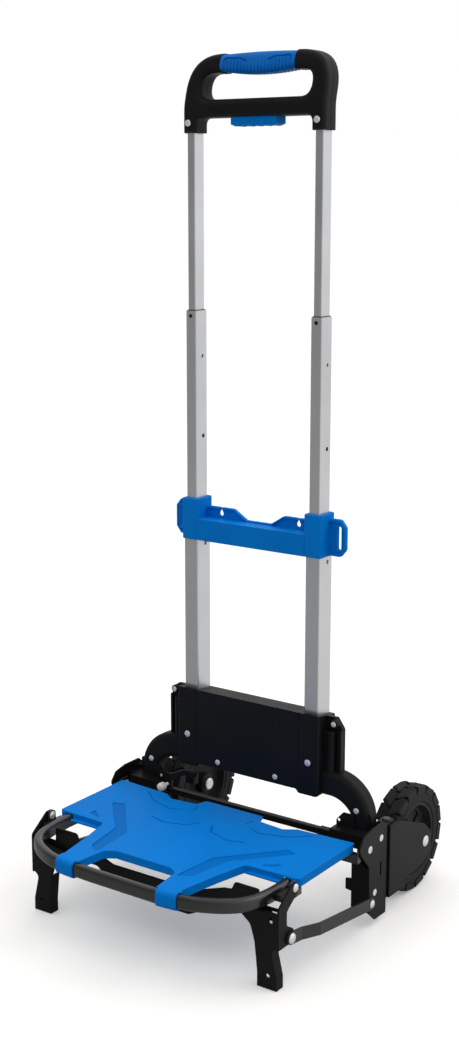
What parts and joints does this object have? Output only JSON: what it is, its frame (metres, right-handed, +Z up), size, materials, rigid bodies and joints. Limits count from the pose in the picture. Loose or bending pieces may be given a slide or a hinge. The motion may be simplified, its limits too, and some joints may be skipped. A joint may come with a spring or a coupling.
{
  "type": "folding hand truck",
  "caption": "Folding hand truck with a telescopic mast, a fold-up load deck on hinged front legs and wheels that turn in as the deck folds.",
  "frame": {"origin": "on the ground, under the centre of the truck's bounding box with the mast out and the deck down", "axes": "+Z up along the mast, -Y towards the front of the load deck, +X to the truck's right seen from in front of the deck"},
  "size_m": [0.3884, 0.4538, 1.0265],
  "materials": {
    "tube_aluminium": "satin anodised extrusion",
    "black_plastic": "fine textured moulding",
    "blue_plastic": "fine textured moulding",
    "grip_rubber": "ribbed soft grip",
    "black_steel": "black powder coat",
    "grey_steel": "dark grey powder coat",
    "bright_steel": "zinc plated",
    "tyre_rubber": "matte block tread",
    "white_plastic": "smooth moulded knob"
  },
  "bodies": {
    "chassis": {"housing_front": "black_plastic", "housing_rear": "black_plastic", "panel_screw_right": "bright_steel", "panel_screw_left": "bright_steel", "lower_tube_right": "tube_aluminium", "lower_tube_left": "tube_aluminium", "cross_bracket": "blue_plastic", "corner_bracket_right": "black_steel", "corner_bracket_left": "black_steel", "cross_rod": "black_steel", "deck_hinge_pin_right": "bright_steel", "deck_hinge_pin_left": "bright_steel", "link_rear_pin_right": "bright_steel", "link_rear_pin_left": "bright_steel", "carrier_pin_right": "grey_steel", "carrier_pin_left": "grey_steel", "latch_pivot": "bright_steel"},
    "middle_stage": {"middle_tube_right": "tube_aluminium", "middle_tube_left": "tube_aluminium", "middle_tube_foot_right": "black_plastic", "middle_tube_foot_left": "black_plastic", "lower_lock_pin_right": "bright_steel", "lower_lock_pin_left": "bright_steel", "mouth_bush_right": "black_plastic", "mouth_bush_left": "black_plastic"},
    "upper_stage": {"upper_tube_right": "tube_aluminium", "upper_tube_left": "tube_aluminium", "upper_tube_foot_right": "black_plastic", "upper_tube_foot_left": "black_plastic", "upper_lock_pin_right": "bright_steel", "upper_lock_pin_left": "bright_steel", "handle_front_shell": "black_plastic", "handle_rear_shell": "black_plastic", "grip_pad": "grip_rubber", "handle_rivet_right": "bright_steel", "handle_rivet_left": "bright_steel"},
    "release": {"release_button": "blue_plastic", "pull_rod_right": "bright_steel", "pull_rod_left": "bright_steel"},
    "deck": {"deck_frame": "black_steel", "deck_panel": "blue_plastic", "leg_pin_right": "bright_steel", "leg_pin_left": "bright_steel"},
    "front_stand": {"leg_right": "black_steel", "leg_left": "black_steel", "leg_cross_plate": "black_steel", "link_front_pin_right": "bright_steel", "link_front_pin_left": "bright_steel"},
    "side_link_right": {"link_right": "grey_steel"},
    "side_link_left": {"link_left": "grey_steel"},
    "carrier_right": {"wheel_carrier_right": "black_plastic", "axle_right": "bright_steel"},
    "carrier_left": {"wheel_carrier_left": "black_plastic", "axle_left": "bright_steel"},
    "wheel_right": {"wheel_rim_right": "black_plastic", "tyre_right": "tyre_rubber"},
    "wheel_left": {"wheel_rim_left": "black_plastic", "tyre_left": "tyre_rubber"},
    "latch": {"latch_lever": "black_steel", "latch_knob": "white_plastic"}
  },
  "joints": [
    {"name": "middle_slide", "type": "slide", "parent": "chassis", "child": "middle_stage", "axis": [0, 0, -1], "range_m": [0, 0.222]},
    {"name": "upper_slide", "type": "slide", "parent": "middle_stage", "child": "upper_stage", "axis": [0, 0, -1], "range_m": [0, 0.205]},
    {"name": "release_press", "type": "slide", "parent": "upper_stage", "child": "release", "axis": [0, 0, 1], "range_m": [0, 0.0055], "stiffness_N_per_m": 900, "springref_m": -0.004},
    {"name": "deck_fold", "type": "hinge", "parent": "chassis", "child": "deck", "pos_m": [0, 0.02448, 0.104], "axis": [-1, 0, 0], "range_deg": [0, 90]},
    {"name": "leg_fold", "type": "hinge", "parent": "deck", "child": "front_stand", "pos_m": [0, -0.12782, 0.112], "axis": [-1, 0, 0], "range_deg": [-96.4, 0]},
    {"name": "link_fold_right", "type": "hinge", "parent": "chassis", "child": "side_link_right", "pos_m": [0.19, 0.02518, 0.0355], "axis": [-1, 0, 0], "range_deg": [0, 82.7]},
    {"name": "link_fold_left", "type": "hinge", "parent": "chassis", "child": "side_link_left", "pos_m": [-0.19, 0.02518, 0.0355], "axis": [-1, 0, 0], "range_deg": [0, 82.7]},
    {"name": "carrier_turn_right", "type": "hinge", "parent": "chassis", "child": "carrier_right", "pos_m": [0.18, 0.07768, 0.074], "axis": [0, 0, 1], "range_deg": [0, 90.2]},
    {"name": "carrier_turn_left", "type": "hinge", "parent": "chassis", "child": "carrier_left", "pos_m": [-0.18, 0.07768, 0.074], "axis": [0, 0, -1], "range_deg": [0, 90.2]},
    {"name": "wheel_spin_right", "type": "hinge", "parent": "carrier_right", "child": "wheel_right", "pos_m": [0.163, 0.15868, 0.0685], "axis": [1, 0, 0], "continuous": true},
    {"name": "wheel_spin_left", "type": "hinge", "parent": "carrier_left", "child": "wheel_left", "pos_m": [-0.163, 0.15868, 0.0685], "axis": [1, 0, 0], "continuous": true},
    {"name": "latch_press", "type": "hinge", "parent": "chassis", "child": "latch", "pos_m": [-0.133, 0.0385, 0.1225], "axis": [0, 1, 0], "range_deg": [0, 5], "stiffness_Nm_per_rad": 0.6, "springref_deg": -5.73}
  ],
  "couplings": [
    {"joint": "leg_fold", "follows": "deck_fold", "ratio": -1.07},
    {"joint": "link_fold_right", "follows": "deck_fold", "ratio": 0.9175},
    {"joint": "link_fold_left", "follows": "deck_fold", "ratio": 0.9175},
    {"joint": "carrier_turn_right", "follows": "deck_fold", "ratio": 1},
    {"joint": "carrier_turn_left", "follows": "deck_fold", "ratio": 1}
  ]
}
